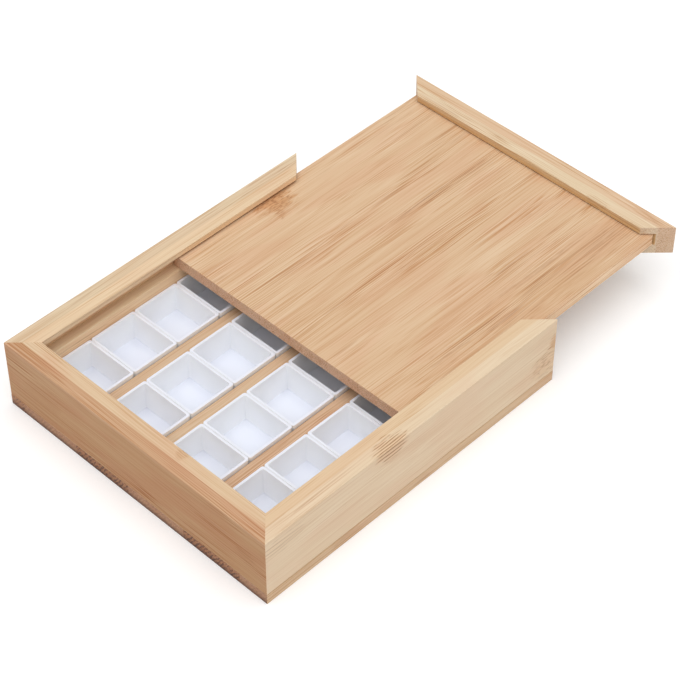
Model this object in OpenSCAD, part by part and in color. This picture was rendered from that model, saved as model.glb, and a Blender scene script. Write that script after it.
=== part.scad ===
// Bamboo watercolour palette box with a sliding lid and lift-out paint pans.
// Millimetres. The origin is the centre of the box's underside, +Z is up, and the lid slides out along +Y.

/* [Pans] */
// Rows of pans, side by side across the box
pan_rows = 4; // [2:1:5]
// Pans in each row
pan_columns = 6; // [4:1:8]
// Width of a pan at its rim, across the box
pan_w = 21.1; // [14:0.1:32]
// Length of a pan at its rim, along its row
pan_l = 18.2; // [12:0.05:32]
// Height of a pan
pan_h = 11.2; // [7:0.1:16]
// Wall of a pan at its rim
pan_wall = 0.9; // [0.6:0.1:1.4]
// Floor of a pan
pan_floor = 1.0; // [0.6:0.1:2]
// Radius of a pan's upright corners, outside at the foot
pan_corner = 0.4; // [0.4:0.1:2.4]
// Radius of a pan's upright corners, inside at the floor
pan_inner_corner = 0.3; // [0.2:0.1:2]
// How far each side of a pan leans out from its foot to its rim
pan_draft = 0.5; // [0.1:0.1:1]
// Gap between neighbouring pans in a row
pan_gap = 0.1; // [0.1:0.05:1]
// Gap at each end of a row
pan_end_gap = 0.2; // [0.1:0.05:2]
// Room that each row has to slide along its channel, besides the end gaps
row_play = 0.9; // [0:0.05:3]
// Rows, counted from the right wall, that are pushed to the far end of their channel
rows_pushed_back = 1; // [0:1:5]
// Gap between a pan's rim and each side of its channel
pan_side_gap = 0.2; // [0.1:0.05:1]

/* [Dividers] */
// Width of the strip between two rows
divider_w = 4.4; // [3:0.1:12]
// How far the top of a strip lies below the pan rims
divider_drop = 1.5; // [0.5:0.1:5]

/* [Walls] */
// Thickness of the walls and of the pull bar
wall_t = 8.4; // [7:0.1:14]
// Thickness of the bottom panel
bottom_t = 4.2; // [3:0.1:8]
// Lip of the wall above the lid groove
lip_t = 2.2; // [1.5:0.1:5]
// Depth of the lid groove
groove_d = 3.8; // [3:0.1:5]
// Room between the pan rims and the floor of the lid groove
head_room = 4; // [1:0.1:12]

/* [Lid] */
// Thickness of the lid
lid_t = 4.5; // [3:0.1:8]
// Room under the lid in its groove
lid_run = 0.1; // [0.05:0.05:0.3]
// Room above the lid in its groove
lid_play = 0.8; // [0.2:0.1:1.5]
// Room beside the lid in each side groove, and behind it in the groove of the pull bar
lid_side_play = 0.6; // [0.3:0.1:1.2]
// Room in front of the closed lid in the groove of the front wall
lid_front_play = 2; // [0.5:0.1:2.5]
// Rail of the pull bar below the lid
bar_rail = 3.5; // [2:0.1:4.5]
// Gap between the pull bar and the back wall
bar_gap = 0.4; // [0.2:0.1:1]
// Gap between the mitres of the pull bar and those of the side walls when the lid is shut
mitre_gap = 0.2; // [0.1:0.05:0.5]
// How far the lid stands open
lid_open = 59.5; // [0:0.5:80]

/* [Hidden] */
// Inside and outside of the box
inner_w = pan_rows * (pan_w + 2 * pan_side_gap) + (pan_rows - 1) * divider_w;
inner_l = pan_columns * pan_l + (pan_columns - 1) * pan_gap + 2 * pan_end_gap + row_play;
box_w = inner_w + 2 * wall_t;
box_l = inner_l + 2 * wall_t;

// Heights above the underside
rim_z = bottom_t + pan_h;
groove_z = rim_z + head_room;
lid_z = groove_z + lid_run;
lid_top_z = lid_z + lid_t;
groove_top_z = lid_top_z + lid_play;
box_h = groove_top_z + lip_t;
bar_z = lid_z - bar_rail;
back_top_z = bar_z - bar_gap;

// The lid where it is shut, with its bar a step proud of the back wall
bar_step = mitre_gap * sqrt(2);
lid_tongue = groove_d - lid_side_play;
lid_w = inner_w + 2 * lid_tongue;
lid_front_y = -inner_l / 2 - groove_d + lid_front_play;
lid_back_y = inner_l / 2 + lid_tongue + bar_step;

// Pans and dividers
row_pitch = pan_w + 2 * pan_side_gap + divider_w;
column_pitch = pan_l + pan_gap;
pan_slope = pan_draft / pan_h;
pan_depth = pan_h - pan_floor;

// Overshoot of a cut past the face that it opens
cut = 1;
$fn = 48;

// Colours
wall_colour = "#DFBF92";
bottom_colour = "#C39868";
lid_colour = "#DDB78A";
divider_colour = "#D9AE7A";
pan_colour = "#EEF1F7";

// Where a row begins, past the end gap at the near end of its channel
function row_start(row) = row > pan_rows - rows_pushed_back ? row_play : 0;

function divider_name(i) = str("divider_", i);
function pan_name(row, column) = str("pan_r", row, "c", column);

// A length of wall along X: its outer face is on Y = 0, its inner face on Y = wall_t, and its ends are mitred
module mitred_plank(length, low, high) {
    translate([0, 0, low])
        linear_extrude(high - low)
            polygon([
                [-length / 2, 0],
                [length / 2, 0],
                [length / 2 - wall_t, wall_t],
                [-length / 2 + wall_t, wall_t]
            ]);
}

// The same length of wall, with a groove along its inner face
module grooved_plank(length, low, high, groove_low, groove_high) {
    difference() {
        mitred_plank(length, low, high);
        translate([-length / 2, wall_t - groove_d, groove_low])
            cube([length, groove_d + cut, groove_high - groove_low]);
    }
}

// A full-height wall with the groove that the lid slides in
module lid_wall(length) {
    grooved_plank(length, bottom_t, box_h, groove_z, groove_top_z);
}

// A block with round upright corners and sides that lean outwards; w, l and r are those of its foot
module drafted_block(w, l, h, r, slope) {
    spread = slope * h;
    rotate([90, 0, 0])
        linear_extrude(l - 2 * r, center = true)
            polygon([[-w / 2, 0], [w / 2, 0], [w / 2 + spread, h], [-w / 2 - spread, h]]);
    rotate([90, 0, 90])
        linear_extrude(w - 2 * r, center = true)
            polygon([[-l / 2, 0], [l / 2, 0], [l / 2 + spread, h], [-l / 2 - spread, h]]);
    for (x = [-1, 1], y = [-1, 1])
        translate([x * (w / 2 - r), y * (l / 2 - r), 0])
            cylinder(h = h, r1 = r, r2 = r + spread);
}

module front_wall() {
    color(wall_colour)
        translate([0, -box_l / 2, 0])
            lid_wall(box_w);
}

module left_wall() {
    color(wall_colour)
        translate([-box_w / 2, 0, 0])
            rotate([0, 0, -90])
                lid_wall(box_l);
}

module right_wall() {
    color(wall_colour)
        translate([box_w / 2, 0, 0])
            rotate([0, 0, 90])
                lid_wall(box_l);
}

// The far wall is low, so that the lid and its bar pass over it
module back_wall() {
    color(wall_colour)
        translate([0, box_l / 2, 0])
            rotate([0, 0, 180])
                mitred_plank(box_w, bottom_t, back_top_z);
}

module bottom_panel() {
    color(bottom_colour)
        translate([-box_w / 2, -box_l / 2, 0])
            cube([box_w, box_l, bottom_t]);
}

module divider(i) {
    color(divider_colour)
        translate([-inner_w / 2 + i * row_pitch - divider_w, -inner_l / 2, bottom_t])
            cube([divider_w, inner_l, pan_h - divider_drop]);
}

module lid_panel() {
    color(lid_colour)
        translate([-lid_w / 2, lid_open + lid_front_y, lid_z])
            cube([lid_w, lid_back_y - lid_front_y, lid_t]);
}

// The bar takes the place of the back wall's upper part, and its groove holds the end of the lid
module pull_bar() {
    color(wall_colour)
        translate([0, lid_open + box_l / 2 + bar_step, 0])
            rotate([0, 0, 180])
                grooved_plank(box_w, bar_z, box_h, lid_z, lid_top_z);
}

module pan(row, column) {
    color(pan_colour)
        translate([
            -inner_w / 2 + pan_side_gap + pan_w / 2 + (row - 1) * row_pitch,
            -inner_l / 2 + pan_end_gap + row_start(row) + pan_l / 2 + (column - 1) * column_pitch,
            bottom_t
        ])
            difference() {
                drafted_block(pan_w - 2 * pan_draft, pan_l - 2 * pan_draft, pan_h, pan_corner, pan_slope);
                translate([0, 0, pan_floor])
                    drafted_block(
                        pan_w - 2 * (pan_wall + pan_slope * pan_depth),
                        pan_l - 2 * (pan_wall + pan_slope * pan_depth),
                        pan_depth + cut,
                        pan_inner_corner,
                        pan_slope
                    );
            }
}

front_wall();
left_wall();
right_wall();
back_wall();
bottom_panel();
lid_panel();
pull_bar();
for (i = [1:pan_rows - 1])
    divider(i);
for (row = [1:pan_rows], column = [1:pan_columns])
    pan(row, column);
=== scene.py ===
import math
from collections import namedtuple

import bmesh
import bpy
from mathutils import Matrix, Vector


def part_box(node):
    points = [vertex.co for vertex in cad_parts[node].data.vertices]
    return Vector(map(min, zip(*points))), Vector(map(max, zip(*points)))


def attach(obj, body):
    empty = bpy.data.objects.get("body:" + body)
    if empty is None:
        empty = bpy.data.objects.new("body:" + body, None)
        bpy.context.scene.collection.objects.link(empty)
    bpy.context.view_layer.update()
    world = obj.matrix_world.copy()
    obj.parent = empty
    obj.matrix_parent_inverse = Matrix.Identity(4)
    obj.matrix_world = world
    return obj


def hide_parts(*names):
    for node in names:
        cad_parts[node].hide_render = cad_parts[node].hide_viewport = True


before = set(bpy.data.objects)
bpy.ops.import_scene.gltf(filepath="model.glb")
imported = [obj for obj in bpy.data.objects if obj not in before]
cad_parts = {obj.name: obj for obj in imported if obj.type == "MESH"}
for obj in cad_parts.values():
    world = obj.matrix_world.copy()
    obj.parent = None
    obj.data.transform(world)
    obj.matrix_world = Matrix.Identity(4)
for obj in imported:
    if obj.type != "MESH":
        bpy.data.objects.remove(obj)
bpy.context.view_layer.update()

# Everything is in metres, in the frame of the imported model: +Z is up and the lid slides out along +Y.
MM = 0.001
X, Y, Z = 0, 1, 2

# Eased edges of the wood
WALL_EDGE = 0.3 * MM
LIP_EDGE = 0.25 * MM
SEAM_EDGE = 0.22 * MM
CORNER_EDGE = 0.3 * MM
PANEL_EDGE = 0.25 * MM
BASE_EDGE = 0.15 * MM
DIVIDER_EDGE = 0.08 * MM

# Steps in a rounded edge, the turn beyond which an edge counts as sharp, and the slant of a mitre
EDGE_STEPS = 4
SHARP_TURN = math.radians(35)
MITRE = math.radians(45)

# Open joint above the lid, in the groove of the pull bar
BAR_SEAM = 0.3 * MM

# Moulded form of a pan
PAN_WALL = 0.9 * MM
PAN_FLOOR = 1.0 * MM
PAN_DRAFT = 0.5 * MM
PAN_CORNER = 0.9 * MM
PAN_INNER_CORNER = 0.55 * MM
PAN_LEAST_CORNER = 0.25 * MM
PAN_FOOT_EDGE = 0.4 * MM
PAN_RIM_EDGE = 0.1 * MM
PAN_FLOOR_EDGE = 0.3 * MM
PAN_CORNER_STEPS = 6

# Corners closer together than these are one corner, or lie on one level
SAME_CORNER = 0.001 * MM
SAME_LEVEL = 0.01 * MM

# Places and sizes on the box
box_low, box_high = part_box("bottom_panel")
wall_low, wall_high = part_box("front_wall")
bar_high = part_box("pull_bar")[1]
box_top = wall_high.z
wall_thickness = wall_high.y - wall_low.y
pan_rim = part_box("pan_r1c1")[1].z
pan_floor = box_high.z + PAN_FLOOR
pan_floor_edge = pan_floor + PAN_FLOOR_EDGE


# Mesh building

def levels(node, axis):
    """The heights, or places along another axis, at which a CAD node has corners."""
    places = sorted(corner.co[axis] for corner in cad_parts[node].data.vertices)
    found = [places[0]]
    for place in places:
        if place - found[-1] > SAME_LEVEL:
            found.append(place)
    return found


def eased(corners, closed):
    """The points of an outline. Each corner is (across, height, ease), and a curve takes off its tip."""
    points = []
    count = len(corners)
    for i, (across, height, ease) in enumerate(corners):
        here = Vector((across, height))
        is_end = not closed and i in (0, count - 1)
        if ease == 0 or is_end:
            points.append(here)
            continue
        back = (Vector(corners[i - 1][:2]) - here).normalized() * ease
        ahead = (Vector(corners[(i + 1) % count][:2]) - here).normalized() * ease
        for step in range(EDGE_STEPS + 1):
            share = step / EDGE_STEPS
            points.append(here + back * (1 - share) ** 2 + ahead * share ** 2)
    return points


def keep_flats_flat(piece):
    """Large faces keep their own normals, so that only the eased edges look round."""
    weighted = piece.modifiers.new("flat_faces", "WEIGHTED_NORMAL")
    weighted.keep_sharp = True


def make_piece(name, shell):
    """An object from a mesh under construction, smooth except at its sharp edges."""
    bmesh.ops.remove_doubles(shell, verts=shell.verts, dist=SAME_CORNER)
    bmesh.ops.recalc_face_normals(shell, faces=shell.faces)
    mesh = bpy.data.meshes.new(name)
    shell.to_mesh(mesh)
    shell.free()
    mesh.shade_smooth()
    mesh.set_sharp_from_angle(angle=SHARP_TURN)
    piece = bpy.data.objects.new(name, mesh)
    bpy.context.scene.collection.objects.link(piece)
    keep_flats_flat(piece)
    return piece


def loft(shell, rings):
    """Faces between neighbouring rings of vertices, and one face at each end."""
    for first, second in zip(rings, rings[1:]):
        for i in range(len(first)):
            after = (i + 1) % len(first)
            shell.faces.new((first[i], first[after], second[after], second[i]))
    shell.faces.new(rings[0])
    shell.faces.new(rings[-1])


def mitred_plank(name, outline, half_length, place):
    """A plank with mitred ends. Outline points are (depth behind the outer face, height).
    The outer upright edge at each mitre is rounded as one edge with the neighbouring plank."""
    def corner_point(depth, turn):
        if depth >= CORNER_EDGE:
            return half_length - depth, depth
        reach = CORNER_EDGE - depth
        return half_length - CORNER_EDGE + reach * math.sin(turn), CORNER_EDGE - reach * math.cos(turn)

    turns = [MITRE * step / EDGE_STEPS for step in range(EDGE_STEPS + 1)]
    stations = [(-1, turn) for turn in reversed(turns)] + [(1, turn) for turn in turns]
    shell = bmesh.new()
    rings = []
    for side, turn in stations:
        ring = []
        for depth, height in outline:
            along, behind = corner_point(depth, turn)
            ring.append(shell.verts.new(place(side * along, behind, height)))
        rings.append(ring)
    loft(shell, rings)
    return make_piece(name, shell)


def rounded_ring(shell, width, length, corner, centre, height):
    """Vertices round a rectangle with round corners."""
    ring = []
    for quarter, (x, y) in enumerate(((1, 1), (-1, 1), (-1, -1), (1, -1))):
        for step in range(PAN_CORNER_STEPS + 1):
            turn = math.radians(90) * (quarter + step / PAN_CORNER_STEPS)
            ring.append(shell.verts.new((
                centre.x + x * (width / 2 - corner) + corner * math.cos(turn),
                centre.y + y * (length / 2 - corner) + corner * math.sin(turn),
                height,
            )))
    return ring


# Pieces

def grooved_outline(node, depth_axis, outer, seam=0.0):
    """Section of a grooved plank: (depth behind the outer face, height) round its eased edges.
    The seam is an open joint at the top of the groove."""
    low, groove_low, groove_high, high = levels(node, Z)
    groove_high += seam
    depths = sorted(abs(place - outer) for place in levels(node, depth_axis))
    thick = depths[-1]
    groove = min(depths, key=lambda depth: abs(depth - thick / 2))
    return eased([
        (0, low, SEAM_EDGE),
        (0, high, WALL_EDGE),
        (thick, high, LIP_EDGE),
        (thick, groove_high, LIP_EDGE),
        (groove, groove_high, 0),
        (groove, groove_low, 0),
        (thick, groove_low, LIP_EDGE),
        (thick, low, SEAM_EDGE),
    ], closed=True)


def plain_outline(node):
    """Section of a plank without a groove."""
    low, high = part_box(node)
    return eased([
        (0, low.z, SEAM_EDGE),
        (0, high.z, LIP_EDGE),
        (wall_thickness, high.z, LIP_EDGE),
        (wall_thickness, low.z, SEAM_EDGE),
    ], closed=True)


def stand_for(piece, node, body):
    """The piece takes the CAD node's place on its body."""
    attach(piece, body)
    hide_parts(node)
    return piece


front_wall = mitred_plank(
    "front_wall_bamboo",
    grooved_outline("front_wall", Y, box_low.y),
    box_high.x,
    lambda along, depth, height: (along, box_low.y + depth, height),
)
left_wall = mitred_plank(
    "left_wall_bamboo",
    grooved_outline("left_wall", X, box_low.x),
    box_high.y,
    lambda along, depth, height: (box_low.x + depth, along, height),
)
right_wall = mitred_plank(
    "right_wall_bamboo",
    grooved_outline("right_wall", X, box_high.x),
    box_high.y,
    lambda along, depth, height: (box_high.x - depth, along, height),
)
back_wall = mitred_plank(
    "back_wall_bamboo",
    plain_outline("back_wall"),
    box_high.x,
    lambda along, depth, height: (along, box_high.y - depth, height),
)
pull_bar = mitred_plank(
    "pull_bar_bamboo",
    grooved_outline("pull_bar", Y, bar_high.y, BAR_SEAM),
    bar_high.x,
    lambda along, depth, height: (along, bar_high.y - depth, height),
)
for piece, node, body in (
    (front_wall, "front_wall", "box"),
    (left_wall, "left_wall", "box"),
    (right_wall, "right_wall", "box"),
    (back_wall, "back_wall", "box"),
    (pull_bar, "pull_bar", "lid"),
):
    stand_for(piece, node, body)


def ease_edges(node, width):
    """Rounds the edges of a CAD node of flat faces."""
    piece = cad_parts[node]
    weld = piece.modifiers.new("joined_corners", "WELD")
    weld.merge_threshold = SAME_CORNER
    bevel = piece.modifiers.new("eased_edges", "BEVEL")
    bevel.width = width
    bevel.segments = EDGE_STEPS
    bevel.limit_method = "ANGLE"
    bevel.angle_limit = SHARP_TURN
    return piece


lid_panel = ease_edges("lid_panel", PANEL_EDGE)
bottom_panel = ease_edges("bottom_panel", BASE_EDGE)
dividers = []
for node in sorted(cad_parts):
    if node.startswith("divider_"):
        dividers.append(ease_edges(node, DIVIDER_EDGE))


def pan_corner(inset):
    """Radius of a pan's upright corners, which get tighter down the outside and down the inside."""
    inside = PAN_INNER_CORNER - max(0, inset - PAN_WALL)
    return max(PAN_CORNER - inset, inside, PAN_LEAST_CORNER)


def pan_tub(node):
    """A thin-walled pan: drafted sides, round rim, curved inside edges and a flat floor."""
    low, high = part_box(node)
    centre = (low + high) / 2
    height = high.z - low.z
    depth = height - PAN_FLOOR
    inner_foot = PAN_WALL + PAN_DRAFT * depth / height
    section = eased([
        (PAN_DRAFT + PAN_FOOT_EDGE, 0, 0),
        (PAN_DRAFT, 0, PAN_FOOT_EDGE),
        (0, height, PAN_RIM_EDGE),
        (PAN_WALL, height, PAN_RIM_EDGE),
        (inner_foot, PAN_FLOOR, PAN_FLOOR_EDGE),
        (inner_foot + PAN_FLOOR_EDGE, PAN_FLOOR, 0),
    ], closed=False)
    shell = bmesh.new()
    rings = [
        rounded_ring(
            shell,
            high.x - low.x - 2 * inset,
            high.y - low.y - 2 * inset,
            pan_corner(inset),
            centre,
            low.z + rise,
        )
        for inset, rise in section
    ]
    loft(shell, rings)
    return make_piece(node + "_tub", shell)


pans = []
for node in sorted(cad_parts):
    if node.startswith("pan_"):
        pans.append(stand_for(pan_tub(node), node, node))


# Materials

def srgb(red, green, blue):
    """Linear colour of an sRGB colour given from 0 to 255."""
    def linear(level):
        share = level / 255
        if share <= 0.04045:
            return share / 12.92
        return ((share + 0.055) / 1.055) ** 2.4
    return linear(red), linear(green), linear(blue), 1.0


# A layer of streaks: its seed, their width, length and detail, their share in the tone of the wood,
# and whether they gather in bands
Fibres = namedtuple("Fibres", "seed width length detail share gathers", defaults=(1.0, False))

# The base colours of the two layers that a plank is glued from, and the place on an axis where they meet
Plies = namedtuple("Plies", "axis boundary below above")

# The strips of a panel: where the first begins, how wide they are, and the step in tone of each
Strips = namedtuple("Strips", "first width tones")

# The tint painted on the faces on one side of a plank: painted shade where it darkens them, painted light
# where it lightens them
PaintedFaceLight = namedtuple("PaintedFaceLight", "side tint")

# A node of the cane: its place and reach, the size of its lines, how deep its stain and its lines are,
# and whether the lines are evenly spaced
CaneNode = namedtuple("CaneNode", "centre reach line_width line_length stain depth even")

# Noise is 0.5 on average, and a plain fibre has that tone. Evenly spaced lines swing either side of it.
MIDDLE = 0.5
LINE_SWING = 0.2
NOISE_ROUGHNESS = 0.55
SEED_SHIFT = (3.7, 5.3, 7.1)

# Streaks along the grain, from broad to hair-fine
CLOUDS = Fibres(0.0, 9 * MM, 200 * MM, 2.0, share=0.18)
BANDS = Fibres(0.1, 2.4 * MM, 160 * MM, 2.0, share=0.13)
STREAKS = Fibres(0.2, 0.7 * MM, 80 * MM, 1.0, share=0.18, gathers=True)
HAIRS = Fibres(0.3, 0.28 * MM, 40 * MM, 0.0, share=0.56, gathers=True)
GATHERED = Fibres(0.95, 6 * MM, 70 * MM, 1.0)
GATHERED_RANGE = (0.36, 0.64)
GATHERED_SHARES = (0.6, 1.6)
PANEL_CONTRAST = 1.2

# Slow sway of the fibres across the grain
SWAY = 3 * MM
SWAY_WIDTH = 20 * MM
SWAY_LENGTH = 90 * MM

# Steps in colour from dark fibres to pale ones, in levels of 255, and how they share out over the channels
TONE_STEPS = ((0.0, -75), (0.3, -26), (MIDDLE, 0), (0.78, 14))
STEP_COLOUR = (0.65, 1.0, 1.2)

# Redder patches
WARM_SEED = 0.4
WARM_WIDTH = 9 * MM
WARM_LENGTH = 30 * MM
WARM_RANGE = (0.42, 0.62)
WARM_TINT = (0.96, 0.84, 0.82, 1.0)
PLANK_WARMTH = 0.3
PANEL_WARMTH = 0.4

# Glued layers of the planks
GLUE_LINE = 0.16 * MM
FRONT_PLY = 3.9 * MM
HALF_PLY = wall_thickness / 2

# Vessels: thin broken lines
VESSEL_WAVES = Fibres(0.5, 2.4 * MM, 200 * MM, 1.0)
VESSEL_BREAKS = Fibres(0.55, 0.7 * MM, 16 * MM, 2.0)
VESSEL_LINE_RANGE = (0.03, 0.01)
VESSEL_BREAK_RANGE = (0.46, 0.56)
VESSEL_GATHER_RANGE = (0.46, 0.62)
VESSEL_DEPTH = 0.35
VESSEL_BROWN = srgb(158, 106, 66)

# Nodes of the cane
NODE_SEED = 0.8
NODE_RAGGED = Fibres(0.7, 0.8 * MM, 5 * MM, 2.0)
NODE_RAGGED_DEPTH = 1.2
NODE_EDGE_RANGE = (1.0, 0.5)
NODE_WAVER = 7.0
NODE_WAVER_WIDTH = 3 * MM
NODE_SPREAD = 0.6
NODE_DARK_RANGE = (0.54, 0.66)
NODE_PALE_RANGE = (0.48, 0.36)
NODE_STAIN = (0.82, 0.63, 0.46, 1.0)
NODE_DARK = (0.42, 0.25, 0.16, 1.0)
NODE_PALE = (1.08, 1.1, 1.12, 1.0)

# How square to an axis a face is, from where it begins to count to where it counts in full
MITRED_END = (0.5, 0.68)
SQUARE_END = (0.75, 0.92)
FLAT_FACE = (0.8, 0.95)

# The top of a broad face, where less of the painted light and shade is laid on
PAINTED_LIGHT_FADE_HEIGHT = 2.4 * MM
PAINTED_LIGHT_TOP_SHARE = 0.4

# Ends cut across the grain
CUT_FIBRES = Fibres(0.9, 0.36 * MM, 6 * MM, 1.0)
CUT_FIBRE_RANGE = (0.42, 0.62)
END_DARK = srgb(98, 68, 54)
PLANK_END_TINT = (1.01, 1.0, 1.05, 1.0)
PLANK_END_DEPTH = 0.1
LID_END_TINT = (1.11, 1.04, 1.08, 1.0)
LID_END_DEPTH = 0.25
LID_SIDE_TINT = (1.27, 1.32, 1.37, 1.0)

# Slanting lines across the ends of the bottom panel
HATCH_LEAN = 0.8
HATCH_PITCH = 1.6 * MM
HATCH_WAVER = 9.0
HATCH_WAVER_WIDTHS = (1.6 * MM, 6 * MM, 2.5 * MM)
HATCH_LINE_RANGE = (0.4, 0.65)
HATCH_BREAK_SEED = 0.6
HATCH_BREAK_WIDTHS = (1.3 * MM, 6 * MM, 1.3 * MM)
HATCH_BREAK_RANGE = (0.36, 0.56)
HATCHED_STRIP = -0.13
FAINT_HATCH = 0.38
HATCH_MOTTLE = 0.3
HATCH_DEPTH = 0.95

# Edges of the bottom panel
BASE_SIDE_TINT = (1.17, 1.17, 1.16, 1.0)
BASE_END_TINT = (0.82, 0.64, 0.585, 1.0)
BASE_SEAM = 0.5 * MM
BASE_SEAM_TINT = (0.72, 0.62, 0.5, 1.0)
# Painted contact shadow along the lowest edge of the cut ends: how high it reaches and its tint
BASE_FOOT = 2.6 * MM
BASE_FOOT_PAINTED_SHADOW = (0.32, 0.28, 0.3, 1.0)

# Sanded surface of the wood
HAIR_RANGE = (0.3, 0.7)
WOOD_ROUGHNESS = (0.62, 0.48)
WOOD_GLOSS = 0.25
WOOD_BUMP = 0.25
WOOD_RELIEF = 0.05 * MM

# White plastic of the pans, and the painted shade that darkens it at the foot, on the floor and on the rim
PLASTIC_CLOUD = 8 * MM
PLASTIC_RANGE = (0.3, 0.7)
PLASTIC_COLOURS = (srgb(251, 252, 255), srgb(253, 254, 255))
PLASTIC_ROUGHNESS = (0.34, 0.42)
PLASTIC_GRAIN = 0.4 * MM
PLASTIC_BUMP = 0.1
PLASTIC_RELIEF = 0.02 * MM
PAN_FOOT_PAINTED_SHADE = (0.955, 0.955, 0.965, 1.0)
PAN_FLOOR_PAINTED_SHADE = (0.795, 0.815, 0.875, 1.0)
PAN_RIM_PAINTED_SHADE = (0.82, 0.83, 0.89, 1.0)
PAN_RIM_DEPTH = 0.4 * MM


class Shade:
    """A material under construction. Most methods add nodes and return an output."""

    def __init__(self, name):
        self.material = bpy.data.materials.new(name)
        self.material.use_nodes = True
        self.tree = self.material.node_tree
        self.tree.nodes.clear()
        self.surface = self.add("ShaderNodeBsdfPrincipled", {})
        output = self.add("ShaderNodeOutputMaterial", {"Surface": self.surface.outputs["BSDF"]})
        output.is_active_output = True
        coordinates = self.add("ShaderNodeTexCoord", {})
        self.place = coordinates.outputs["Object"]
        self.normal = coordinates.outputs["Normal"]

    def add(self, kind, inputs, **settings):
        """A node, with links or values on its inputs."""
        node = self.tree.nodes.new(kind)
        for key, value in settings.items():
            setattr(node, key, value)
        for key, value in inputs.items():
            if isinstance(value, bpy.types.NodeSocket):
                self.tree.links.new(value, node.inputs[key])
            else:
                node.inputs[key].default_value = value
        return node

    def math(self, operation, first, second=0.0, third=0.0):
        """A calculation with numbers."""
        inputs = {0: first, 1: second, 2: third}
        return self.add("ShaderNodeMath", inputs, operation=operation).outputs[0]

    def vector(self, operation, first, second=(0.0, 0.0, 0.0)):
        """A calculation with vectors."""
        node = self.add("ShaderNodeVectorMath", {0: first, 1: second}, operation=operation)
        return node.outputs["Value" if operation in ("LENGTH", "DOT_PRODUCT") else "Vector"]

    def axis(self, number):
        """Place along one axis."""
        return self.add("ShaderNodeSeparateXYZ", {0: self.place}).outputs[number]

    def remap(self, value, low, high, to_low=0.0, to_high=1.0):
        """A smooth step from one level to another as the value goes from low to high."""
        return self.add(
            "ShaderNodeMapRange",
            {"Value": value, "From Min": low, "From Max": high, "To Min": to_low, "To Max": to_high},
            interpolation_type="SMOOTHSTEP",
        ).outputs[0]

    def facing(self, axis, turns, side=None):
        """1 on the faces square to an axis, on one side of the piece or on both, and 0 on the others."""
        across = [0.0, 0.0, 0.0]
        across[axis] = side or 1.0
        turned = self.vector("DOT_PRODUCT", self.normal, across)
        if side is None:
            turned = self.math("ABSOLUTE", turned)
        return self.remap(turned, *turns)

    def mix(self, share, first, second, blend="MIX"):
        """Two colours mixed. The node takes colours on its inputs 6 and 7 and gives one on its output 2."""
        return self.add(
            "ShaderNodeMix",
            {0: share, 6: first, 7: second},
            data_type="RGBA",
            blend_type=blend,
        ).outputs[2]

    def ramp(self, value, stops, interpolation="LINEAR"):
        """The colour at a value between stops, each a position and a colour."""
        node = self.add("ShaderNodeValToRGB", {"Fac": value})
        node.color_ramp.interpolation = interpolation
        elements = node.color_ramp.elements
        while len(elements) < len(stops):
            elements.new(MIDDLE)
        for element, (position, colour) in zip(elements, stops):
            element.position = position
            element.color = colour
        return node.outputs["Color"]

    def noise(self, place, widths, seed, detail=2.0):
        """Noise node about as coarse as the widths along the three axes."""
        stretched = self.add(
            "ShaderNodeMapping",
            {
                "Vector": place,
                "Scale": [1 / width for width in widths],
                "Location": [seed * shift for shift in SEED_SHIFT],
            },
        ).outputs[0]
        return self.add(
            "ShaderNodeTexNoise",
            {"Vector": stretched, "Scale": 1.0, "Detail": detail, "Roughness": NOISE_ROUGHNESS},
        )

    def finish(self, colour, roughness, relief, bump_strength, bump_distance):
        """Puts the colour, the roughness and the relief on the surface, and returns the material."""
        bump = self.add(
            "ShaderNodeBump",
            {"Height": relief, "Strength": bump_strength, "Distance": bump_distance},
        )
        surface = self.surface.inputs
        self.tree.links.new(colour, surface["Base Color"])
        self.tree.links.new(roughness, surface["Roughness"])
        self.tree.links.new(bump.outputs[0], surface["Normal"])
        return self.material


def stepped(base, steps):
    """A base colour some levels lighter, or darker, in the way that bamboo fibres differ."""
    return srgb(*(min(max(level + steps * share, 0), 255) for level, share in zip(base, STEP_COLOUR)))


def fibre_tones(base):
    """Colour stops of a piece of bamboo, from its darkest fibre to its palest."""
    return [(position, stepped(base, steps)) for position, steps in TONE_STEPS]


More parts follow.
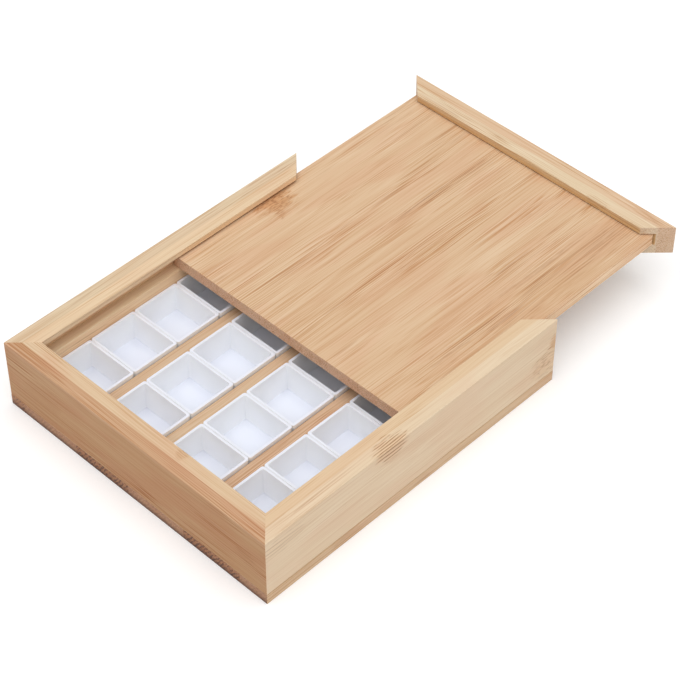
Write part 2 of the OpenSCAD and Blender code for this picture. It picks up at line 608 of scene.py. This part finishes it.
class Bamboo(Shade):
    """Bamboo whose fibres run along one axis."""

    def __init__(self, name, grain, seed):
        super().__init__(name)
        self.grain = grain
        self.seed = seed
        sway = self.noise(self.place, self.along(SWAY_WIDTH, SWAY_LENGTH), seed).outputs["Color"]
        sway = self.vector("SUBTRACT", sway, [MIDDLE] * 3)
        sway = self.vector("MULTIPLY", sway, [SWAY] * 3)
        self.fibres = self.vector("ADD", self.place, sway)

    def along(self, width, length):
        """Widths along the three axes of something drawn out along the grain."""
        widths = [width] * 3
        widths[self.grain] = length
        return widths

    def streaks(self, fibres):
        """Streaks along the grain, 0.5 on average."""
        widths = self.along(fibres.width, fibres.length)
        return self.noise(self.fibres, widths, self.seed + fibres.seed, fibres.detail).outputs["Fac"]

    def swing(self, streaks, depth):
        """Streaks of some depth, 0 on average."""
        return self.math("MULTIPLY_ADD", streaks, depth, -MIDDLE * depth)

    def tone(self, contrast):
        """Tone of the fibres, and the finest of them by themselves."""
        tone = MIDDLE
        gathered = self.remap(self.streaks(GATHERED), *GATHERED_RANGE, *GATHERED_SHARES)
        for fibres in (CLOUDS, BANDS, STREAKS, HAIRS):
            streaks = self.streaks(fibres)
            step = self.swing(streaks, fibres.share * contrast)
            if fibres.gathers:
                step = self.math("MULTIPLY", step, gathered)
            tone = self.math("ADD", tone, step)
        return tone, streaks

    def add_warmth(self, colour, depth):
        """Redder patches."""
        widths = self.along(WARM_WIDTH, WARM_LENGTH)
        patches = self.noise(self.place, widths, self.seed + WARM_SEED).outputs["Fac"]
        warm = self.remap(patches, *WARM_RANGE)
        return self.mix(self.math("MULTIPLY", warm, depth), colour, WARM_TINT, "MULTIPLY")

    def strip_tone(self, strips):
        """Step in tone from strip to strip across a panel."""
        count = len(strips.tones)
        panel_width = strips.width * count
        share = self.math("MULTIPLY_ADD", self.axis(X), 1 / panel_width, -strips.first / panel_width)
        stops = [(i / count, [MIDDLE + tone] * 3 + [1.0]) for i, tone in enumerate(strips.tones)]
        return self.math("SUBTRACT", self.ramp(share, stops, "CONSTANT"), MIDDLE)

    def ply_colour(self, tone, plies):
        """Colour of the fibres in each of the two layers that a plank is glued from."""
        low = plies.boundary - GLUE_LINE / 2
        high = plies.boundary + GLUE_LINE / 2
        below = self.ramp(tone, fibre_tones(plies.below))
        above = self.ramp(tone, fibre_tones(plies.above))
        return self.mix(self.remap(self.axis(plies.axis), low, high), below, above)

    def vessels(self):
        """Thin broken lines that gather in some of the bands."""
        waves = self.math("SUBTRACT", self.streaks(VESSEL_WAVES), MIDDLE)
        lines = self.remap(self.math("ABSOLUTE", waves), *VESSEL_LINE_RANGE)
        broken = self.remap(self.streaks(VESSEL_BREAKS), *VESSEL_BREAK_RANGE)
        gathered = self.remap(self.streaks(GATHERED), *VESSEL_GATHER_RANGE)
        return self.math("MULTIPLY", self.math("MULTIPLY", lines, broken), gathered)

    def near(self, centre, reach):
        """1 close to a point and 0 beyond the reach along each axis, with a ragged edge along the grain."""
        offset = self.vector("SUBTRACT", self.place, centre)
        distance = self.vector("LENGTH", self.vector("DIVIDE", offset, reach))
        ragged = self.swing(self.streaks(NODE_RAGGED), NODE_RAGGED_DEPTH)
        return self.remap(self.math("ADD", distance, ragged), *NODE_EDGE_RANGE)

    def even_lines(self, across, pitch, waver, depth):
        """Parallel lines at an even pitch, 0.5 on average like the streaks, and shaken by the waver."""
        turn = self.math("MULTIPLY", across, 2 * math.pi / pitch)
        turn = self.math("MULTIPLY_ADD", waver, depth, turn)
        return self.math("MULTIPLY_ADD", self.math("SINE", turn), LINE_SWING, MIDDLE)

    def node_lines(self, mark):
        """The lines of a cane node: evenly spaced, or scattered flecks."""
        if not mark.even:
            return self.streaks(Fibres(NODE_SEED, mark.line_width, mark.line_length, 0.0))
        first, second = (self.axis(number) for number in (X, Y, Z) if number != self.grain)
        waver = self.streaks(Fibres(NODE_SEED, NODE_WAVER_WIDTH, mark.line_length, 1.0))
        across = self.math("MULTIPLY_ADD", second, NODE_SPREAD, first)
        return self.even_lines(across, mark.line_width, waver, NODE_WAVER)

    def add_cane_node(self, colour, mark):
        """A node of the cane: a brown stain with dark lines along the grain and pale ones between them."""
        near = self.near(mark.centre, mark.reach)
        lines = self.node_lines(mark)
        dark = self.math("MULTIPLY", near, self.remap(lines, *NODE_DARK_RANGE))
        pale = self.math("MULTIPLY", near, self.remap(lines, *NODE_PALE_RANGE))
        colour = self.mix(self.math("MULTIPLY", near, mark.stain), colour, NODE_STAIN, "MULTIPLY")
        colour = self.mix(self.math("MULTIPLY", dark, mark.depth), colour, NODE_DARK, "MULTIPLY")
        return self.mix(self.math("MULTIPLY", pale, mark.depth), colour, NODE_PALE, "MULTIPLY")

    def add_marks(self, colour, vessels, cane_nodes):
        """The vessels, and then the nodes of the cane."""
        colour = self.mix(self.math("MULTIPLY", vessels, VESSEL_DEPTH), colour, VESSEL_BROWN)
        for mark in cane_nodes:
            colour = self.add_cane_node(colour, mark)
        return colour

    def dots(self):
        """Fibres cut across."""
        return self.remap(self.streaks(CUT_FIBRES), *CUT_FIBRE_RANGE)

    def hatching(self, strip_tone):
        """Slanting broken lines across a cut end, deep in its dark strips and faint in its pale ones."""
        slant = self.math("MULTIPLY_ADD", self.axis(Z), -HATCH_LEAN, self.axis(X))
        waver = self.noise(self.place, HATCH_WAVER_WIDTHS, self.seed).outputs["Fac"]
        lines = self.remap(self.even_lines(slant, HATCH_PITCH, waver, HATCH_WAVER), *HATCH_LINE_RANGE)
        breaks = self.noise(self.place, HATCH_BREAK_WIDTHS, self.seed + HATCH_BREAK_SEED).outputs["Fac"]
        lines = self.math("MULTIPLY", lines, self.remap(breaks, *HATCH_BREAK_RANGE))
        return self.math("MULTIPLY", lines, self.remap(strip_tone, 0.0, HATCHED_STRIP, FAINT_HATCH, 1.0))

    def add_painted_face_light(self, colour, axis, face):
        """A tint on the broad faces on one side of a plank, which paints light on them where it lightens and
        shade where it darkens, laid on less towards the top.
        """
        top_fade = self.remap(self.axis(Z), box_top - PAINTED_LIGHT_FADE_HEIGHT, box_top, 1.0, PAINTED_LIGHT_TOP_SHARE)
        share = self.math("MULTIPLY", self.facing(axis, FLAT_FACE, face.side), top_fade)
        return self.mix(share, colour, face.tint, "MULTIPLY")

    def add_sides(self, colour, tint):
        """The long edges of a panel, which differ in tint from its broad faces."""
        return self.mix(self.facing(X, FLAT_FACE), colour, tint, "MULTIPLY")

    def add_cut_ends(self, colour, turns, tint, marks, depth):
        """Ends cut across the grain, in their own tint and with the marks given."""
        end = self.mix(1.0, colour, tint, "MULTIPLY")
        end = self.mix(self.math("MULTIPLY", marks, depth), end, END_DARK)
        return self.mix(self.facing(self.grain, turns), colour, end)

    def add_seam(self, colour):
        """The dark line along a panel's sides where the walls stand on it."""
        high = self.remap(self.axis(Z), box_high.z - BASE_SEAM, box_high.z)
        share = self.math("MULTIPLY", high, self.facing(X, FLAT_FACE))
        return self.mix(share, colour, BASE_SEAM_TINT, "MULTIPLY")

    def add_painted_foot_shadow(self, colour):
        """The lowest edge of the cut ends, darkened as a painted contact shadow."""
        low = self.remap(self.axis(Z), BASE_FOOT, 0.0)
        share = self.math("MULTIPLY", low, self.facing(self.grain, SQUARE_END))
        return self.mix(share, colour, BASE_FOOT_PAINTED_SHADOW, "MULTIPLY")

    def sanded(self, colour, hairs, vessels):
        """A sanded, satin surface with slightly sunken vessels."""
        self.surface.inputs["Specular IOR Level"].default_value = WOOD_GLOSS
        roughness = self.remap(hairs, *HAIR_RANGE, *WOOD_ROUGHNESS)
        relief = self.math("SUBTRACT", hairs, vessels)
        return self.finish(colour, roughness, relief, WOOD_BUMP, WOOD_RELIEF)


def bamboo_plank(name, grain, seed, plies, cane_nodes, contrast=1.0, warmth=PLANK_WARMTH, face=None):
    """Bamboo glued from two layers."""
    shade = Bamboo(name, grain, seed)
    tone, hairs = shade.tone(contrast)
    vessels = shade.vessels()
    colour = shade.add_warmth(shade.ply_colour(tone, plies), warmth)
    if face:
        # The tint on one side's broad faces: painted light where it lightens, painted shade where it darkens
        colour = shade.add_painted_face_light(colour, plies.axis, face)
    colour = shade.add_marks(colour, vessels, cane_nodes)
    colour = shade.add_cut_ends(colour, MITRED_END, PLANK_END_TINT, shade.dots(), PLANK_END_DEPTH)
    return shade.sanded(colour, hairs, vessels)


def bamboo_panel(name, seed, base, strips, cane_nodes, side_tint, end_tint, hatched):
    """Bamboo panel glued from strips side by side, with its grain along Y."""
    shade = Bamboo(name, Y, seed)
    tone, hairs = shade.tone(PANEL_CONTRAST)
    vessels = shade.vessels()
    strip_tone = shade.strip_tone(strips)
    tone = shade.math("ADD", tone, strip_tone)
    colour = shade.add_warmth(shade.ramp(tone, fibre_tones(base)), PANEL_WARMTH)
    colour = shade.add_sides(colour, side_tint)
    colour = shade.add_marks(colour, vessels, cane_nodes)
    if hatched:
        mottle = shade.math("MULTIPLY", shade.dots(), HATCH_MOTTLE)
        marks = shade.math("MAXIMUM", shade.hatching(strip_tone), mottle)
        colour = shade.add_cut_ends(colour, SQUARE_END, end_tint, marks, HATCH_DEPTH)
        # Painted contact shadow along the foot of the cut ends
        colour = shade.add_painted_foot_shadow(colour)
        colour = shade.add_seam(colour)
    else:
        colour = shade.add_cut_ends(colour, SQUARE_END, end_tint, shade.dots(), LID_END_DEPTH)
    return shade.sanded(colour, hairs, vessels)


def moulded_plastic(name):
    """White moulded plastic with a faint blue cast, a soft sheen and the unevenness of a thin moulding, and
    painted shade that darkens it towards the foot, on the floor and on the tops of the rims.
    """
    shade = Shade(name)
    height = shade.axis(Z)
    clouds = shade.noise(shade.place, [PLASTIC_CLOUD] * 3, 0.0).outputs["Fac"]
    colour = shade.ramp(clouds, list(zip(PLASTIC_RANGE, PLASTIC_COLOURS)))
    # Painted shade: darker down the walls towards the foot
    foot = shade.remap(height, pan_rim, pan_floor_edge)
    colour = shade.mix(foot, colour, PAN_FOOT_PAINTED_SHADE, "MULTIPLY")
    # Painted shade on the floor of each pan
    floor = shade.remap(height, pan_floor_edge, pan_floor)
    colour = shade.mix(floor, colour, PAN_FLOOR_PAINTED_SHADE, "MULTIPLY")
    # Painted shade on the upward faces of the rims
    rim = shade.remap(height, pan_rim - PAN_RIM_DEPTH, pan_rim)
    rim = shade.math("MULTIPLY", rim, shade.facing(Z, FLAT_FACE))
    colour = shade.mix(rim, colour, PAN_RIM_PAINTED_SHADE, "MULTIPLY")
    roughness = shade.remap(clouds, *PLASTIC_RANGE, *PLASTIC_ROUGHNESS)
    grain = shade.noise(shade.place, [PLASTIC_GRAIN] * 3, 1.0, 1.0).outputs["Fac"]
    return shade.finish(colour, roughness, grain, PLASTIC_BUMP, PLASTIC_RELIEF)


def in_metres(lengths):
    """Lengths in metres, given in millimetres."""
    return tuple(length * MM for length in lengths)


def cane_node(centre, reach, line, stain, depth, even=False):
    """A node of the cane. Its centre, its reach, and the width and length of its lines are in millimetres,
    and the depth of its stain and that of its lines go from 0 to 1."""
    line_width, line_length = in_metres(line)
    return CaneNode(in_metres(centre), in_metres(reach), line_width, line_length, stain, depth, even)


finishes = {
    front_wall: bamboo_plank(
        "front_wall_grain", X, 1.0,
        Plies(Y, box_low.y + FRONT_PLY, (198, 157, 121), (216, 186, 151)),
        [
            cane_node((15.7, -56.5, 27), (2.6, 3.2, 2), line=(0.8, 3), stain=0.3, depth=0.3, even=True),
            cane_node((-42, -63.9, 14), (12, 2, 5), line=(0.5, 10), stain=0.25, depth=0.05),
            cane_node((49.5, -63.9, 14.5), (5, 2, 4), line=(0.9, 8), stain=0.1, depth=0.2, even=True),
        ],
        contrast=1.2,
        warmth=0.7,
        # Painted shade: the outer face at the front is darkened
        face=PaintedFaceLight(-1.0, (0.86, 0.803, 0.676, 1.0)),
    ),
    left_wall: bamboo_plank(
        "left_wall_grain", Y, 2.0,
        Plies(X, box_low.x + HALF_PLY, (218, 195, 163), (224, 196, 161)),
        [cane_node((-58, 20, 14), (5, 9, 8), line=(0.8, 8), stain=0.3, depth=0.4, even=True)],
        contrast=0.7,
        # Painted light: the inner face is lightened
        face=PaintedFaceLight(1.0, (1.26, 1.21, 1.15, 1.0)),
    ),
    right_wall: bamboo_plank(
        "right_wall_grain", Y, 3.0,
        Plies(X, box_high.x - HALF_PLY, (220, 191, 155), (225, 202, 171)),
        [
            cane_node((58, -11.5, 27), (5, 8.5, 6.5), line=(0.85, 14), stain=0.4, depth=0.8, even=True),
            cane_node((58, -57, 22), (2, 11, 4), line=(0.85, 14), stain=0.0, depth=0.3, even=True),
            cane_node((58, 62, 10), (3, 11, 8), line=(0.35, 2.2), stain=0.25, depth=0.35),
            cane_node((58, 64, 18), (3, 4, 4), line=(0.5, 5), stain=0.6, depth=0.2),
        ],
        contrast=0.65,
        # Painted light: the outer face is lightened a little
        face=PaintedFaceLight(1.0, (1.04, 1.03, 1.036, 1.0)),
    ),
    back_wall: bamboo_plank(
        "back_wall_grain", X, 4.0,
        Plies(Y, box_high.y - HALF_PLY, (218, 186, 152), (223, 198, 163)),
        [cane_node((-22, 63.9, 10), (7, 3, 5), line=(0.4, 6), stain=0.3, depth=0.4)],
    ),
    pull_bar: bamboo_plank(
        "pull_bar_grain", X, 5.0,
        Plies(Y, bar_high.y - HALF_PLY, (222, 199, 166), (217, 186, 152)),
        [
            cane_node((31.5, 115.3, 27), (5.5, 2.6, 3), line=(0.8, 5), stain=0.2, depth=0.3, even=True),
            cane_node((47, 121.4, 27), (8, 2, 2), line=(0.5, 8), stain=0.2, depth=0.1),
            cane_node((-25, 123.7, 21), (7, 3, 5), line=(0.4, 6), stain=0.3, depth=0.4),
        ],
        # Painted shade: the face towards the lid is darkened
        face=PaintedFaceLight(-1.0, (0.96, 0.79, 0.56, 1.0)),
    ),
    lid_panel: bamboo_panel(
        "lid_grain", 6.0, (214, 180, 144),
        Strips(-64 * MM, 25 * MM, (0.05, 0.0, -0.03, 0.01, -0.03)),
        [
            cane_node((-54, 43, 24), (15, 11, 5), line=(0.34, 1.7), stain=0.85, depth=0.45),
            cane_node((-12, 82, 24), (1.5, 36, 2), line=(0.35, 30), stain=0.15, depth=0.5),
            cane_node((42, 75, 24), (8, 55, 3), line=(0.5, 40), stain=0.1, depth=0.25),
            cane_node((20, 80, 19.5), (13, 6, 3), line=(0.45, 1.8), stain=0.4, depth=0.4),
        ],
        LID_SIDE_TINT,
        LID_END_TINT,
        hatched=False,
    ),
    bottom_panel: bamboo_panel(
        "bottom_grain", 7.0, (198, 166, 132),
        Strips(-75.8 * MM, 24.4 * MM, (-0.08, 0.04, -0.15, 0.1, -0.15, 0.1)),
        [
            cane_node((58, -31, 2), (5, 8, 4), line=(0.4, 8), stain=0.2, depth=0.2),
            cane_node((20, 10, 0), (12, 5, 3), line=(0.45, 2), stain=0.4, depth=0.4),
            cane_node((-16, -34, 0), (12, 5, 3), line=(0.45, 2), stain=0.4, depth=0.4),
        ],
        BASE_SIDE_TINT,
        BASE_END_TINT,
        hatched=True,
    ),
}
divider_colours = ((204, 173, 141), (206, 176, 144), (204, 170, 139))
divider_seeds = (8.0, 9.0, 10.0)
for piece, base, seed in zip(dividers, divider_colours, divider_seeds):
    finishes[piece] = bamboo_plank(piece.name + "_grain", Y, seed, Plies(X, 0.0, base, base), [])
plastic = moulded_plastic("pan_moulding")
for piece in pans:
    finishes[piece] = plastic
for piece, material in finishes.items():
    if not piece.material_slots:
        piece.data.materials.append(material)
    for slot in piece.material_slots:
        slot.material = material


# Stage, light and camera

WHITE = (1.0, 1.0, 1.0, 1.0)
FLOOR_WHITE = (0.9, 0.9, 0.9, 1.0)
FLOOR_REACH = 6.0
FLOOR_DROP = 0.05 * MM
FLOOR_GLOW = 0.16
SKY_LIGHT = 0.47
SUN_STRENGTH = 1.95
SUN_SPREAD = math.radians(70)
SUN_HEIGHT = math.radians(76)
SUN_BEARING = math.radians(-45)

# The view of the photograph, with the lens and the sensor in millimetres
CAMERA_PLACE = Vector((0.3495, -0.3311, 0.5008))
CAMERA_AIM = Vector((0.0062, 0.0194, 0.0135))
CAMERA_ROLL = math.radians(-0.063)
CAMERA_LENS = 114.98
CAMERA_SENSOR = 36


def link_strength(tree, for_light, for_sight, socket):
    """A glow of one strength as a light, and of another as the camera and reflections see it."""
    path = tree.nodes.new("ShaderNodeLightPath")
    seen = path.outputs["Is Camera Ray"]
    for kind in ("Is Glossy Ray", "Is Transmission Ray"):
        either = tree.nodes.new("ShaderNodeMath")
        either.operation = "MAXIMUM"
        tree.links.new(seen, either.inputs[0])
        tree.links.new(path.outputs[kind], either.inputs[1])
        seen = either.outputs[0]
    strength = tree.nodes.new("ShaderNodeMapRange")
    strength.inputs["To Min"].default_value = for_light
    strength.inputs["To Max"].default_value = for_sight
    tree.links.new(seen, strength.inputs["Value"])
    tree.links.new(strength.outputs[0], socket)


def pale_floor():
    """A plain white floor that keeps the shadow of the box."""
    shell = bmesh.new()
    bmesh.ops.create_grid(shell, x_segments=1, y_segments=1, size=FLOOR_REACH)
    mesh = bpy.data.meshes.new("floor")
    shell.to_mesh(mesh)
    shell.free()
    floor = bpy.data.objects.new("floor", mesh)
    floor.location.z = -FLOOR_DROP
    bpy.context.scene.collection.objects.link(floor)
    shade = Shade("floor_white")
    surface = shade.surface.inputs
    surface["Base Color"].default_value = FLOOR_WHITE
    surface["Roughness"].default_value = 1.0
    surface["Specular IOR Level"].default_value = 0.0
    surface["Emission Color"].default_value = WHITE
    link_strength(shade.tree, 0.0, FLOOR_GLOW, surface["Emission Strength"])
    mesh.materials.append(shade.material)


def white_world():
    """Even light from all round, which the camera and reflections see as white."""
    world = bpy.data.worlds.new("white_room")
    world.use_nodes = True
    bpy.context.scene.world = world
    sky = world.node_tree.nodes["Background"].inputs
    sky["Color"].default_value = WHITE
    link_strength(world.node_tree, SKY_LIGHT, 1.0, sky["Strength"])


def soft_lamp():
    """One broad lamp, which shines steeply down from the front right."""
    lamp = bpy.data.lights.new("soft_lamp", "SUN")
    lamp.energy = SUN_STRENGTH
    lamp.angle = SUN_SPREAD
    holder = bpy.data.objects.new("soft_lamp", lamp)
    bpy.context.scene.collection.objects.link(holder)
    towards_lamp = Vector((
        math.cos(SUN_HEIGHT) * math.cos(SUN_BEARING),
        math.cos(SUN_HEIGHT) * math.sin(SUN_BEARING),
        math.sin(SUN_HEIGHT),
    ))
    holder.rotation_euler = towards_lamp.to_track_quat("Z", "Y").to_euler()


def photo_camera():
    """The camera of the photograph."""
    data = bpy.data.cameras.new("photo_camera")
    data.lens = CAMERA_LENS
    data.sensor_fit = "HORIZONTAL"
    data.sensor_width = CAMERA_SENSOR
    camera = bpy.data.objects.new("photo_camera", data)
    bpy.context.scene.collection.objects.link(camera)
    look = (CAMERA_AIM - CAMERA_PLACE).to_track_quat("-Z", "Y").to_matrix().to_4x4()
    camera.matrix_world = Matrix.Translation(CAMERA_PLACE) @ look @ Matrix.Rotation(CAMERA_ROLL, 4, "Z")
    bpy.context.scene.camera = camera


pale_floor()
white_world()
soft_lamp()
photo_camera()
bpy.context.scene.view_settings.view_transform = "Standard"
